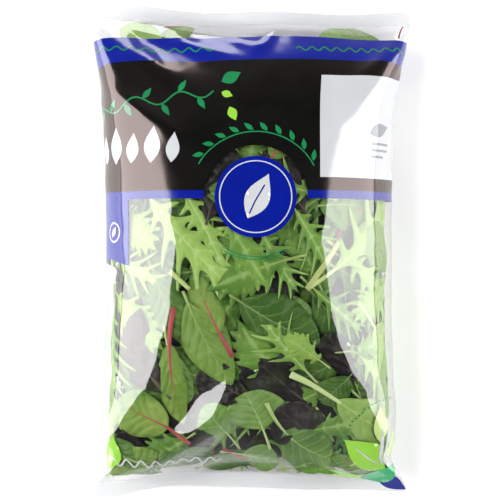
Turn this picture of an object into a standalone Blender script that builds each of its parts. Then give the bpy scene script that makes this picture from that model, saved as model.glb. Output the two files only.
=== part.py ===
"""A sealed pillow bag of salad leaves, lying on its back.

The clear film and the leaves pressed against it are one closed solid out to the film. Its cross-section is a
rounded pillow with a flat underside, which flattens towards each end into a thin welded seal. The seals keep the
film's full width, so the body between them is narrower and the four corners flare.

Metres, +Z up. +Y points to the top of the bag, and the printed side faces +Z. The origin is on the surface that
the bag lies on, at the middle of its footprint.
"""

import math

import bmesh
import bpy

# Driving sizes
WIDTH = 0.207  # across the corners
LENGTH = 0.320  # between the corners of the two seals
THICKNESS = 0.064  # of the filled body at its middle
SEAL_DEPTH = 0.015  # of each welded seal, along the bag
SEAL_PLY = 0.0012  # thickness of a seal, with its two plies

# The filled body
BODY_HALF = LENGTH / 2 - SEAL_DEPTH
WAIST = 0.0125  # how far each side draws in from the corners
SEAL_HEIGHT = 0.021  # of the seals above the surface
SIDE_HEIGHT = 0.025  # of the widest line of the cross-section
BELLY = 0.008  # how much the surface flattens the underside
END_POWER = 2.2  # how squarely the body fills out from its seals
END_ROUND = 0.8
UNDER_RISE = 2.4  # how steeply the underside lifts towards a seal
CROWN_POWER = 3.2  # how squarely the top of a cross-section is domed
BASE_POWER = 8.0  # the same for its underside
SECTION_ROUND = 0.6

# Soft folds
PLEAT_HEIGHT = 0.0028  # of the folds that run from each seal into the body
PLEAT_REACH = 0.022  # how far they run
TOP_PLEATS = 2.5  # waves across the bag
BASE_PLEATS = 3.3
TOP_PHASE = 0.6
BASE_PHASE = 1.7
EDGE_DIP = 0.0045  # how far the middle of a seal's edge draws in from its corners
EDGE_RIPPLE = 0.0012
CORNER_DROOP = 0.006

# Crimps where the sides buckle: which side, distance along the bag, depth and half length
SIDE_CRIMPS = (
    (-1, 0.086, 0.0022, 0.009),
    (-1, 0.028, 0.0018, 0.007),
    (-1, -0.052, 0.0012, 0.010),
    (1, 0.078, 0.0020, 0.010),
    (1, 0.014, 0.0016, 0.007),
    (1, -0.070, 0.0014, 0.009),
)

# How finely the solid is drawn
ACROSS = 32  # strips from one side to the other
ALONG = 44  # strips from one seal to the other
SEAL_STRIPS = 3

FILM_COLOUR = (0.45, 0.55, 0.36, 1.0)
FILM_ROUGHNESS = 0.25


def clear_scene():
    for old in list(bpy.data.objects):
        bpy.data.objects.remove(old)


def fullness(y):
    """From 1 at the middle of the body to 0 at a seal."""
    share = min(abs(y) / BODY_HALF, 1.0)
    return (1.0 - share**END_POWER) ** END_ROUND


def crimp(side, y):
    """How far the crimps on one side pull it in at y."""
    return sum(
        depth * math.exp(-(((y - at) / reach) ** 2))
        for crimped, at, depth, reach in SIDE_CRIMPS
        if crimped == side
    )


def half_width(side, y):
    drawn_in = WAIST * min(1.0, 1.6 * fullness(y) ** 1.5)
    return WIDTH / 2 - drawn_in - crimp(side, y)


def pleat(x, y):
    """Height of the folds that start at the nearer seal and fade into the body."""
    waves, phase = (TOP_PLEATS, TOP_PHASE) if y > 0 else (BASE_PLEATS, BASE_PHASE)
    fade = math.exp(-max(BODY_HALF - abs(y), 0.0) / PLEAT_REACH)
    return PLEAT_HEIGHT * fade * math.sin(2 * math.pi * waves * x / WIDTH + phase)


def seal_height(x, y):
    """Height of the middle of a seal, whose corners droop."""
    outward = max(abs(y) - BODY_HALF, 0.0) / SEAL_DEPTH
    droop = CORNER_DROOP * outward * (2 * x / WIDTH) ** 2
    return SEAL_HEIGHT + pleat(x, y) - droop


def section_height(x, y, upper):
    """Height of the upper or lower surface at x and y."""
    share = min(abs(x) / half_width(math.copysign(1, x), y), 1.0)
    full = fullness(y)
    middle = SEAL_HEIGHT + (SIDE_HEIGHT - SEAL_HEIGHT) * full
    if upper:
        top = SEAL_HEIGHT + (THICKNESS - SEAL_HEIGHT) * full
        dome = (1.0 - share**CROWN_POWER) ** SECTION_ROUND
        return middle + (top - middle) * dome + pleat(x, y)
    bottom = SEAL_HEIGHT - (SEAL_HEIGHT + BELLY) * min(1.0, UNDER_RISE * full)
    dome = (1.0 - share**BASE_POWER) ** SECTION_ROUND
    return max(middle - (middle - bottom) * dome + pleat(x, y), 0.0)


def edge_shift(x, y):
    """How far the outer edge of a seal lies inside the line between its corners."""
    middle = 1.0 - (2 * x / WIDTH) ** 2
    waves, phase = (TOP_PLEATS, TOP_PHASE) if y > 0 else (BASE_PLEATS, BASE_PHASE)
    ripple = EDGE_RIPPLE * math.cos(2 * math.pi * waves * x / WIDTH - phase)
    return EDGE_DIP * middle + ripple * middle


def body_stations():
    """Places of the cross-sections along the body, closer together near the seals."""
    return [
        BODY_HALF * math.sin(math.pi / 2 * (2 * i / ALONG - 1)) for i in range(ALONG + 1)
    ]


def seal_stations(end):
    """Places of the cross-sections of one seal, going outwards. end is 1 or -1."""
    step = SEAL_DEPTH / SEAL_STRIPS
    return [end * (BODY_HALF + step * i) for i in range(1, SEAL_STRIPS + 1)]


def section(y):
    """One closed ring of points: over the top from +X to -X, then back underneath."""
    in_seal = abs(y) > BODY_HALF - SEAL_DEPTH * 0.01
    ring = []
    for upper in (True, False):
        for i in range(ACROSS):
            turn = math.pi * i / ACROSS
            cosine = math.cos(turn) if upper else -math.cos(turn)
            x = cosine * half_width(math.copysign(1, cosine), y)
            on_edge = i == 0
            if in_seal:
                ply = 0.0 if on_edge else SEAL_PLY / 2
                z = seal_height(x, y) + (ply if upper else -ply)
            elif on_edge:
                middle = SEAL_HEIGHT + (SIDE_HEIGHT - SEAL_HEIGHT) * fullness(y)
                z = middle + pleat(x, y)
            else:
                z = section_height(x, y, upper)
            outward = max(abs(y) - BODY_HALF, 0.0) / SEAL_DEPTH
            shift = math.copysign(edge_shift(x, y) * outward, y)
            ring.append((x, y - shift, z))
    return ring


def add_ring(mesh, points):
    return [mesh.verts.new(point) for point in points]


def close_end(mesh, ring, flip):
    """Joins the upper and lower points of the last ring of a seal."""
    upper = ring[: ACROSS + 1]
    lower = [ring[0]] + ring[:ACROSS:-1] + [ring[ACROSS]]
    for i in range(ACROSS):
        corners = [upper[i], upper[i + 1], lower[i + 1], lower[i]]
        face = [corner for n, corner in enumerate(corners) if corner not in corners[:n]]
        mesh.faces.new(reversed(face) if flip else face)


def bag_material():
    material = bpy.data.materials.new("film_over_leaves")
    material.use_nodes = True
    shader = material.node_tree.nodes["Principled BSDF"]
    shader.inputs["Base Color"].default_value = FILM_COLOUR
    shader.inputs["Roughness"].default_value = FILM_ROUGHNESS
    shader.inputs["Metallic"].default_value = 0.0
    return material


def centre_footprint(mesh):
    """Puts the middle of the footprint over the origin."""
    for axis in (0, 1):
        places = [vert.co[axis] for vert in mesh.verts]
        middle = (min(places) + max(places)) / 2
        for vert in mesh.verts:
            vert.co[axis] -= middle


def build_bag():
    mesh = bmesh.new()
    stations = (
        seal_stations(-1)[::-1] + body_stations() + seal_stations(1)
    )
    rings = [add_ring(mesh, section(y)) for y in stations]
    count = len(rings[0])
    for near, far in zip(rings, rings[1:]):
        for i in range(count):
            j = (i + 1) % count
            mesh.faces.new((near[i], near[j], far[j], far[i]))
    close_end(mesh, rings[0], flip=True)
    close_end(mesh, rings[-1], flip=False)
    bmesh.ops.recalc_face_normals(mesh, faces=mesh.faces)
    centre_footprint(mesh)

    data = bpy.data.meshes.new("bag")
    mesh.to_mesh(data)
    mesh.free()
    data.materials.append(bag_material())
    data.shade_smooth()
    bag = bpy.data.objects.new("bag", data)
    bpy.context.scene.collection.objects.link(bag)
    return bag


def main():
    clear_scene()
    build_bag()


main()
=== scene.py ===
# %% [markdown]
# # A sealed film bag of mixed baby salad leaves
# The real pack is a tube of thin clear film, printed on a press, filled with washed leaves and welded shut
# at both ends. This lesson makes it in the same order: the film is blown up from a flat tube, the print is
# laid on it as fields of ink, and leaves of six kinds are modelled once each and packed in behind the film.
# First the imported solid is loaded, because every size and place comes from its box.

# %% Load the frame
import math

import bmesh
import bpy
import numpy as np
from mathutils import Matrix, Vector, geometry, kdtree


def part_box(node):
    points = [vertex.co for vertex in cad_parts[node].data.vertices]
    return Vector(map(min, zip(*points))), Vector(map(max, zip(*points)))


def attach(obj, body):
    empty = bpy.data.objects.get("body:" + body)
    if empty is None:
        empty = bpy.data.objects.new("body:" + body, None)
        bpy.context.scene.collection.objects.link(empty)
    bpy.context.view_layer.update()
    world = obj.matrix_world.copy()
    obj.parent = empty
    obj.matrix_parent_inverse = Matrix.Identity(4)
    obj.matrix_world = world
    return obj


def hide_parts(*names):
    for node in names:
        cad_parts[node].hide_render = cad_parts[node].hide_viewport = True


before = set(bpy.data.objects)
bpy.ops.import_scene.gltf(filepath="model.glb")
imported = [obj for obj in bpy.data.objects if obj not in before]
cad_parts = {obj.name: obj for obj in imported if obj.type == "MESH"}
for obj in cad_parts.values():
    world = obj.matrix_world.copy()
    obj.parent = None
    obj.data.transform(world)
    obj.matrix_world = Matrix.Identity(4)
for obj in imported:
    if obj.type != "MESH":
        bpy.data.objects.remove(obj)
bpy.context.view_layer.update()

MM = 0.001
low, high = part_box("bag")
BAG_WIDTH, BAG_LENGTH, BAG_HEIGHT = high - low
HALF_WIDTH, HALF_LENGTH = BAG_WIDTH / 2, BAG_LENGTH / 2
print(f"bag {BAG_WIDTH / MM:.0f} x {BAG_LENGTH / MM:.0f} x {BAG_HEIGHT / MM:.0f} mm")

# %% [markdown]
# ## Small helpers
# An operator works on whatever is selected, and the loaded solid is selected now. So each step starts by
# clearing the selection, and the helpers below pick one object, or some of its vertices, by hand.

# %% Selecting and applying
def activate(*pieces):
    """Leaves edit mode and selects only these objects, the first as the active one."""
    if bpy.context.mode != "OBJECT":
        bpy.ops.object.mode_set(mode="OBJECT")
    bpy.ops.object.select_all(action="DESELECT")
    for piece in pieces:
        piece.select_set(True)
    bpy.context.view_layer.objects.active = pieces[0]


def new_piece(name):
    """Names the object that an operator has just added."""
    piece = bpy.context.object
    piece.name = piece.data.name = name
    return piece


def apply_modifier(piece, kind, **settings):
    """Adds a modifier, sets it and applies it."""
    activate(piece)
    modifier = piece.modifiers.new(kind.title(), kind)
    for key, value in settings.items():
        setattr(modifier, key, value)
    bpy.ops.object.modifier_apply(modifier=modifier.name)


def pick(piece, test):
    """In edit mode, selects the vertices whose place passes a test."""
    mesh = bmesh.from_edit_mesh(piece.data)
    for part in (*mesh.verts, *mesh.edges, *mesh.faces):
        part.select = False
    for vertex in mesh.verts:
        vertex.select = test(vertex.co)
    mesh.select_flush(True)
    bmesh.update_edit_mesh(piece.data)


def points_of(mesh):
    """The vertices of a mesh as rows of x, y and z."""
    flat = np.empty(len(mesh.vertices) * 3, np.float32)
    mesh.vertices.foreach_get("co", flat)
    return flat.reshape(-1, 3).astype(float)


# %% [markdown]
# ## The film, blown up
# The pack starts as a flat tube of film, 210 mm across. Filled, it swells, its sides draw in and its welded
# ends keep their full width, which gives the flared corners. Modelling that by hand is guesswork, so Cloth
# does it: two sheets joined at their rim are blown up to the volume of the leaves, while the two welds are
# pinned and led to where they lie on a full bag. Cloth behaves best on metre-sized things, so the bag is
# simulated at ten times its size.

# %% The flat tube
SIM_SCALE = 10
FILM_WIDTH = BAG_WIDTH + 3 * MM
FILM_LENGTH = BAG_LENGTH + 10 * MM
WELD_TOP, WELD_BASE = 15 * MM, 14.5 * MM
CELL = 3.4 * MM
COLUMNS = round(FILM_WIDTH / CELL)
ROWS = round(FILM_LENGTH / CELL)
SHEET = (COLUMNS + 1) * (ROWS + 1)

bpy.ops.object.select_all(action="DESELECT")
bpy.ops.mesh.primitive_grid_add(x_subdivisions=COLUMNS, y_subdivisions=ROWS, size=1)
film = new_piece("film")
film.scale = (FILM_WIDTH * SIM_SCALE, FILM_LENGTH * SIM_SCALE, 1)
bpy.ops.object.transform_apply(location=True, rotation=True, scale=True)
apply_modifier(film, "SOLIDIFY", thickness=0.01, offset=0)
flat = points_of(film.data)
print(f"flat tube: {len(flat)} points, the first {SHEET} are the front sheet")


# %% Where the welds go
def wave(x, count, phase):
    """A ripple across the simulated film."""
    return math.sin(x / (FILM_WIDTH * SIM_SCALE) * 2 * math.pi * count + phase)


def closed_weld(x, y, z, share, top):
    """Where a point of a weld lies on the full bag; share runs from 0 at the leaves to 1 at the edge."""
    # all in the simulation's metres, ten times the real ones
    side = 2 * x / (FILM_WIDTH * SIM_SCALE)
    if top:
        edge = -0.135 + 0.055 * side**2 - 0.035 * side + 0.008 * wave(x, 2.5, 0.4)
        lift = 0.05 * wave(x, 1.5, 0.5)
    else:
        middle_dip = 0.035 * math.exp(-(((side + 0.25) / 0.5) ** 2))
        corner_dip = 0.05 * math.exp(-(((side + 1) / 0.35) ** 2))
        edge = 0.095 + middle_dip - corner_dip
        edge += 0.006 * wave(x, 3.0, 1.0)
        lift = 0.06 * wave(x, 2.2, 1.5)
    height = 0.22 * (1 - 0.3 * share) + lift * (0.5 + 0.5 * share) - 0.06 * share * side**2
    return x * 0.985, y + edge * (0.75 + 0.25 * share), height + (0.002 if z > 0 else -0.002)


# How the sheets lie before they are blown up, in the simulation's metres
START_HEIGHT, START_SWELL, START_JITTER = 0.3, 0.02, 0.004
CLOSED_BY = 20  # the frame by which the welds have reached their place

half = FILM_LENGTH / 2 * SIM_SCALE
top_line = half - WELD_TOP * SIM_SCALE
base_line = -half + WELD_BASE * SIM_SCALE
rng = np.random.default_rng(3)
for vertex in film.data.vertices:
    x, y, z = flat[vertex.index]
    swell = 0
    if base_line < y < top_line:
        along = (y - base_line) / (top_line - base_line)
        across = max(0, 1 - (2 * x / (FILM_WIDTH * SIM_SCALE)) ** 2)
        swell = START_SWELL * math.sqrt(math.sin(math.pi * along) * across)
    vertex.co.z = z + (swell if z > 0 else -swell) + START_HEIGHT + START_JITTER * rng.standard_normal()

film.shape_key_add(name="Basis")
closed = film.shape_key_add(name="closed")
welded, filled = [], []
for index, (x, y, z) in enumerate(flat):
    if y > top_line + 1e-4 or y < base_line - 1e-4:
        depth = WELD_TOP if y > 0 else WELD_BASE
        share = abs(y - (top_line if y > 0 else base_line)) / (depth * SIM_SCALE)
        closed.data[index].co = closed_weld(x, y, z, share, y > 0)
        welded.append(index)
    else:
        closed.data[index].co = film.data.vertices[index].co
        filled.append(index)
film.vertex_groups.new(name="weld").add(welded, 1.0, "REPLACE")
film.vertex_groups.new(name="air").add(filled, 1.0, "REPLACE")
closed.value = 0
closed.keyframe_insert("value", frame=1)
closed.value = 1
closed.keyframe_insert("value", frame=CLOSED_BY)
print(f"{len(welded)} points are welded")

# %% Blow it up on a table
FRAMES = 30
bpy.ops.mesh.primitive_plane_add(size=20)
table = new_piece("table")
table.modifiers.new("Collision", "COLLISION")
table.collision.thickness_outer = 0.01
table.collision.cloth_friction = 5

cloth = film.modifiers.new("Cloth", "CLOTH")
for key, value in {
    "quality": 8, "mass": 0.1, "tension_stiffness": 60, "compression_stiffness": 60, "shear_stiffness": 20,
    "bending_stiffness": 1.2, "tension_damping": 15, "compression_damping": 15, "shear_damping": 15,
    "bending_damping": 1, "air_damping": 3, "use_pressure": True, "uniform_pressure_force": 5,
    "use_pressure_volume": True, "target_volume": 2.05, "vertex_group_pressure": "air",
    "vertex_group_mass": "weld",
}.items():
    setattr(cloth.settings, key, value)
cloth.collision_settings.distance_min = 0.01
cloth.collision_settings.collision_quality = 3
cloth.point_cache.frame_start = 1
cloth.point_cache.frame_end = FRAMES + 1
for step in range(1, FRAMES + 1):
    bpy.context.scene.frame_set(step)

blown = bpy.data.meshes.new_from_object(film.evaluated_get(bpy.context.evaluated_depsgraph_get()))
film.modifiers.clear()
film.shape_key_clear()
film.vertex_groups.clear()
film.data = blown
film.data.name = "film"
bpy.data.objects.remove(table)
bpy.context.scene.frame_set(1)
print(f"blown film: {len(film.data.vertices)} points")

# %% [markdown]
# ## Calming the film and folding its corners
# Real film this thin is smooth between a few long soft folds. A Smooth modifier takes out the small ripple of
# the simulation. Then the folds are pressed in, as ridges that run from the welds into the body,
# since those are what catch the light on a full bag. The longest crosses the left of the foot.

# %% Smooth, shrink to size and set down
apply_modifier(film, "SMOOTH", factor=0.5, iterations=12)
place = points_of(film.data) / SIM_SCALE
flat /= SIM_SCALE
LIFT = 0.4 * MM  # clearance for the ink under the bag
size = np.ptp(place, axis=0)
fit = (np.array([BAG_WIDTH, BAG_LENGTH, BAG_HEIGHT]) - 2 * LIFT) / size
place = (place - (place.max(0) + place.min(0)) / 2) * fit
place[:, 2] += LIFT - place[:, 2].min()
print("film", (size / MM).round(1), "mm, fitted by", fit.round(4))

# Where the full body pulls its sides in from the corners, or lets them out: side, place along the bag, how
# far and over what length, in mm
SIDE_PULLS = ((-1, -136, 8.5, 17), (1, -136, 8.0, 17), (1, 118, -4.0, 20))
for side, at, pull, reach in SIDE_PULLS:
    share = np.clip(place[:, 0] * side / (BAG_WIDTH / 2), 0, 1)
    place[:, 0] -= side * share * pull * MM * np.exp(-(((place[:, 1] - at * MM) / (reach * MM)) ** 2))

# Each fold: start, middle and end as shares of half the flat film's width and length, then its height and
# half its breadth in mm
FOLDS = (
    (-0.78, 0.80, -0.58, 0.72, -0.36, 0.62, 1.9, 6.0),
    (-0.80, 0.90, -0.42, 0.82, -0.02, 0.74, 1.5, 4.5),
    (-0.88, 0.62, -0.60, 0.50, -0.28, 0.36, 1.8, 7.0),
    (-0.72, 0.92, -0.30, 0.86, 0.06, 0.79, 1.6, 4.0),
    (-0.55, 0.92, -0.40, 0.83, -0.25, 0.74, 1.2, 4.0),
    (0.92, 0.84, 0.74, 0.72, 0.55, 0.62, 1.2, 4.0),
    (0.20, 0.92, 0.12, 0.84, 0.02, 0.76, 1.1, 4.0),
    (0.95, -0.84, 0.76, -0.74, 0.58, -0.60, 1.3, 4.5),
    (0.70, -0.90, 0.50, -0.84, 0.35, -0.76, 1.2, 4.0),
    (-0.90, -0.84, -0.34, -0.715, 0.06, -0.36, 7.0, 11.5),
    (-0.40, -0.90, -0.30, -0.84, -0.20, -0.78, 1.2, 4.0),
)
normals = np.array([v.normal[:] for v in film.data.vertices])
film_half = np.array([FILM_WIDTH / 2, FILM_LENGTH / 2])
front = np.arange(len(flat)) < SHEET
steps = np.linspace(0, 1, 40)[:, None]
for x0, y0, x1, y1, x2, y2, height, breadth in FOLDS:
    start, middle, end = (np.array(point) * film_half for point in ((x0, y0), (x1, y1), (x2, y2)))
    pull = 2 * middle - (start + end) / 2
    line = (1 - steps) ** 2 * start + 2 * steps * (1 - steps) * pull + steps**2 * end
    gaps = np.linalg.norm(flat[:, None, :2] - line[None], axis=2)
    along = gaps.argmin(1) / (len(line) - 1)
    distance = gaps.min(1) / (breadth * MM)
    # highest in the middle, and low but not gone at both ends
    ridge = height * MM * np.exp(-(distance**2)) * np.sin(np.pi * np.clip(along, 0.04, 0.96)) ** 0.7
    place += (ridge * front)[:, None] * normals
for vertex, point in zip(film.data.vertices, place):
    vertex.co = point
film.data.update()

# %% [markdown]
# ## Finding a place on the film
# Print and leaves both follow the film, so both are laid out on the flat tube and then carried onto the
# blown one. Subdivision smooths a grid of points with cubic splines, and the same splines worked out here
# land exactly on it. `on_film` takes a place on the flat tube: u runs round it, v along it.

# %% Splines through the film's points
SHEET_COLUMNS = COLUMNS + 1
front_sheet = place[:SHEET].reshape(ROWS + 1, SHEET_COLUMNS, 3)
back_sheet = place[SHEET : 2 * SHEET].reshape(ROWS + 1, SHEET_COLUMNS, 3)
tube = np.concatenate([front_sheet, back_sheet[:, ::-1]], axis=1)
RIM = 1 * MM  # the narrow strip that joins the two sheets at each side
GIRTH = 2 * (FILM_WIDTH + RIM)
one_sheet = [FILM_WIDTH / COLUMNS] * COLUMNS + [RIM]
u_marks = np.cumsum([0] + one_sheet + one_sheet)


def spline(share):
    """Weights of four neighbours on a cubic spline, and their slopes."""
    s = share
    weights = np.stack([(1 - s) ** 3, 3 * s**3 - 6 * s**2 + 4, -3 * s**3 + 3 * s**2 + 3 * s + 1, s**3]) / 6
    slopes = np.stack([-((1 - s) ** 2), 3 * s**2 - 4 * s, -3 * s**2 + 2 * s + 1, s**2]) / 2
    return weights, slopes


def on_film(u, v):
    """The point on the blown film, and its outward normal, for places on the flat tube."""
    column = np.interp(np.mod(np.asarray(u) + FILM_WIDTH / 2, GIRTH), u_marks, np.arange(len(u_marks)))
    row = np.clip((np.asarray(v) / FILM_LENGTH + 0.5) * ROWS, 0, ROWS - 1e-6)
    first_column, first_row = np.floor(column).astype(int), np.floor(row).astype(int)
    across, across_slope = spline(column - first_column)
    along, along_slope = spline(row - first_row)
    point, du, dv = (np.zeros((len(column), 3)) for _ in range(3))
    for i in range(4):
        rows = np.clip(first_row + i - 1, 0, ROWS)
        for j in range(4):
            near = tube[rows, (first_column + j - 1) % (2 * SHEET_COLUMNS)]
            point += (along[i] * across[j])[:, None] * near
            du += (along[i] * across_slope[j])[:, None] * near
            dv += (along_slope[i] * across[j])[:, None] * near
    normal = np.cross(du, dv)
    return point, normal / np.maximum(np.linalg.norm(normal, axis=1), 1e-12)[:, None]


# %% Into the bag, and from the view back to the film
section_low, section_high = tube[:, :, 2].min(1), tube[:, :, 2].max(1)
section_half = np.abs(tube[:, :, 0]).max(1)


def inside(u, v, depth):
    """A point at a depth behind the film. Depths squeeze together where the bag is thin, and never meet."""
    point, _ = on_film(u, v)
    row = np.clip((np.asarray(v) / FILM_LENGTH + 0.5) * ROWS, 0, ROWS)
    steps = np.arange(ROWS + 1)
    floor_height, top = np.interp(row, steps, section_low), np.interp(row, steps, section_high)
    reach = np.maximum(np.interp(row, steps, section_half) - 0.55 * (top - floor_height), 0.01)
    core_line = np.stack([np.clip(point[:, 0], -reach, reach), point[:, 1], (floor_height + top) / 2], axis=1)
    inward = core_line - point
    room = np.maximum(np.linalg.norm(inward, axis=1), 1e-6)
    return point + inward * (1 - np.exp(-np.maximum(depth, 0) / room))[:, None]


# a map of the front, with a place for every millimetre
grid_u, grid_v = np.meshgrid(np.arange(-105, 105.1, 1) * MM, np.arange(-165, 165.1, 1) * MM)
grid_u, grid_v = grid_u.ravel(), grid_v.ravel()
seen, _ = on_film(grid_u, grid_v)
tree = kdtree.KDTree(len(seen))
for index, point in enumerate(seen):
    tree.insert((point[0], point[1], 0), index)
tree.balance()


def flat_place(across, along):
    """The place on the flat tube of one on the front, given as percent of half the width and length."""
    _, index, _ = tree.find((across / 100 * HALF_WIDTH, along / 100 * HALF_LENGTH, 0))
    return np.array([grid_u[index], grid_v[index]])


print("front middle lies at", (on_film([0], [0])[0][0] / MM).round(1), "mm")

# %% [markdown]
# ## Nodes and colours
# Every material below is built with one helper that adds a node, sets it and links it, and one that turns a
# colour as it is picked on screen into the linear values that Blender works with. Sockets are given by name,
# or by number where a node repeats a name: a Map Range reads from socket 1 to socket 2 and gives socket 3 to
# socket 4, and a Math node works on sockets 0, 1 and 2 in turn.

# %% Colour and node helpers
def linear(text):
    """An sRGB hex colour as linear RGBA."""
    parts = [int(text[i : i + 2], 16) / 255 for i in (0, 2, 4)]
    return [c / 12.92 if c <= 0.04045 else ((c + 0.055) / 1.055) ** 2.4 for c in parts] + [1.0]


def add(tree, kind, values=None, links=None, **settings):
    """Adds a node with its settings, its sockets' values and the sockets that feed it."""
    made = tree.nodes.new(kind)
    for key, value in settings.items():
        setattr(made, key, value)
    for key, value in (values or {}).items():
        made.inputs[key].default_value = value
    for key, source in (links or {}).items():
        tree.links.new(source, made.inputs[key])
    return made


def new_material(name):
    """A material with an empty node tree and its output."""
    material = bpy.data.materials.new(name)
    material.use_nodes = True
    tree = material.node_tree
    tree.nodes.clear()
    return material, tree, add(tree, "ShaderNodeOutputMaterial")


def ramp(node, *stops):
    """Sets a colour ramp's stops, each a position and a linear colour."""
    elements = node.color_ramp.elements
    while len(elements) < len(stops):
        elements.new(0.5)
    for element, (position, colour) in zip(elements, stops):
        element.position = position
        element.color = colour


# %% [markdown]
# ## Clear film
# The film is cast polypropylene, 35 microns thick. Light meets its polished faces, so about a sixth of it
# comes straight back, more at a glancing angle, and the rest goes through. Mixing a Transparent and a Glossy
# shader by the facing angle says just that. The welds are two plies pressed by ribbed jaws, which makes them
# milky, duller and finely lined.

# %% Cast polypropylene film
FACE_SHINE, WELD_SHINE, GLANCING_SHINE = 0.165, 0.06, 0.82  # shares of light that come straight back
FILM_CLEARNESS, WELD_CLEARNESS = 0.985, 0.945  # shares of the rest that go through
FILM_HAZE, WELD_HAZE = 0.004, 0.38
WELD_START, WELD_FULL = 0.452, 0.459  # shares of the film's length, from its middle
RIB_PITCH = 1.6 * MM
film_clear, nodes, out = new_material("cast_polypropylene_film")
layer = add(nodes, "ShaderNodeLayerWeight")
power = add(nodes, "ShaderNodeMath", {1: 5.0}, {0: layer.outputs["Facing"]}, operation="POWER")
layout = add(nodes, "ShaderNodeUVMap", uv_map="flat")
parts = add(nodes, "ShaderNodeSeparateXYZ", links={0: layout.outputs[0]})
weld_line = add(nodes, "ShaderNodeMath", {1: 0.5}, {0: parts.outputs["Y"]}, operation="SUBTRACT")
from_middle = add(nodes, "ShaderNodeMath", links={0: weld_line.outputs[0]}, operation="ABSOLUTE")
weld = add(nodes, "ShaderNodeMapRange", {1: WELD_START, 2: WELD_FULL, 3: 0.0, 4: 1.0},
           {0: from_middle.outputs[0]})
faces = add(nodes, "ShaderNodeMapRange", {1: 0.0, 2: 1.0, 3: FACE_SHINE, 4: WELD_SHINE},
            {0: weld.outputs[0]})
shine = add(nodes, "ShaderNodeMath", {1: GLANCING_SHINE}, {0: power.outputs[0], 2: faces.outputs[0]},
            operation="MULTIPLY_ADD")
ribs = add(nodes, "ShaderNodeMath", {1: 2 * math.pi * FILM_LENGTH / RIB_PITCH}, {0: parts.outputs["Y"]},
           operation="MULTIPLY")
rib_wave = add(nodes, "ShaderNodeMath", links={0: ribs.outputs[0]}, operation="SINE")
rib_height = add(nodes, "ShaderNodeMath", links={0: rib_wave.outputs[0], 1: weld.outputs[0]},
                 operation="MULTIPLY")
place_node = add(nodes, "ShaderNodeTexCoord")
crinkle = add(nodes, "ShaderNodeTexNoise", {"Scale": 38.0, "Detail": 2.0, "Roughness": 0.45},
              {"Vector": place_node.outputs["Object"]})
soft = add(nodes, "ShaderNodeBump", {"Strength": 0.2, "Distance": 0.0012}, {"Height": crinkle.outputs["Fac"]})
lined = add(nodes, "ShaderNodeBump", {"Strength": 0.25, "Distance": 0.0001},
            {"Height": rib_height.outputs[0], "Normal": soft.outputs[0]})
passes = add(nodes, "ShaderNodeMapRange", {1: 0.0, 2: 1.0, 3: FILM_CLEARNESS, 4: WELD_CLEARNESS},
             {0: weld.outputs[0]})
clear = add(nodes, "ShaderNodeBsdfTransparent", links={0: passes.outputs[0]})
gloss = add(nodes, "ShaderNodeBsdfGlossy", {"Roughness": 0.05}, {"Normal": lined.outputs[0]})
sheen = add(nodes, "ShaderNodeMixShader",
            links={0: shine.outputs[0], 1: clear.outputs[0], 2: gloss.outputs[0]})
white_side = add(nodes, "ShaderNodeBsdfDiffuse", {"Color": linear("E6E7EA")}, {"Normal": lined.outputs[0]})
lit_through = add(nodes, "ShaderNodeBsdfTranslucent", {"Color": linear("E6E7EA")})
milky = add(nodes, "ShaderNodeMixShader", {0: 0.35}, {1: white_side.outputs[0], 2: lit_through.outputs[0]})
haze = add(nodes, "ShaderNodeMapRange", {1: 0.0, 2: 1.0, 3: FILM_HAZE, 4: WELD_HAZE}, {0: weld.outputs[0]})
hazy = add(nodes, "ShaderNodeMixShader", links={0: haze.outputs[0], 1: sheen.outputs[0], 2: milky.outputs[0]})
nodes.links.new(hazy.outputs[0], out.inputs["Surface"])

# %% Finish the film
film.data.materials.clear()
film.data.materials.append(film_clear)
uv_layer = film.data.uv_layers.new(name="flat")
loop_vertex = np.empty(len(film.data.loops), int)
film.data.loops.foreach_get("vertex_index", loop_vertex)
sheet_uv = flat[:, :2] / (FILM_WIDTH, FILM_LENGTH) + 0.5
uv_layer.data.foreach_set("uv", sheet_uv[loop_vertex].astype(np.float32).ravel())
apply_modifier(film, "SUBSURF", levels=1, render_levels=1)
film.data.polygons.foreach_set("use_smooth", np.ones(len(film.data.polygons), bool))
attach(film, "root")
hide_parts("bag")
print(f"film: {len(film.data.polygons)} faces")

# %% [markdown]
# ## Print
# The pack is printed in flat fields: a blue line and a black field round the top half, a blue disc in a
# clear ring, a white panel, a blue tab and leaf shapes at the foot. All lettering is left out; in its
# place are plain leaves, bars, waves and rings. Each field is an outline on the flat tube, filled
# with small triangles so that it can bend, and carried onto the film a hair outside it. Filling any outline,
# with holes, is what Delaunay triangulation is for, so that is used in place of hand modelling.

# %% Outlines on the flat tube
def close_up(points, spacing=2.0 * MM):
    """A closed outline with extra points, so that no side is longer than the spacing."""
    dense = []
    for start, end in zip(points, points[1:] + points[:1]):
        count = max(1, math.ceil(math.dist(start, end) / spacing))
        dense += [
            (start[0] + (end[0] - start[0]) * i / count, start[1] + (end[1] - start[1]) * i / count)
            for i in range(count)
        ]
    return dense


def box_outline(u0, v0, u1, v1):
    """A rectangle between two opposite corners."""
    return close_up([(u0, v0), (u1, v0), (u1, v1), (u0, v1)])


def round_outline(centre, radius, count=96):
    """A circle as an outline of this many points."""
    turns = [2 * math.pi * i / count for i in range(count)]
    return [(centre[0] + radius * math.cos(a), centre[1] + radius * math.sin(a)) for a in turns]


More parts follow.
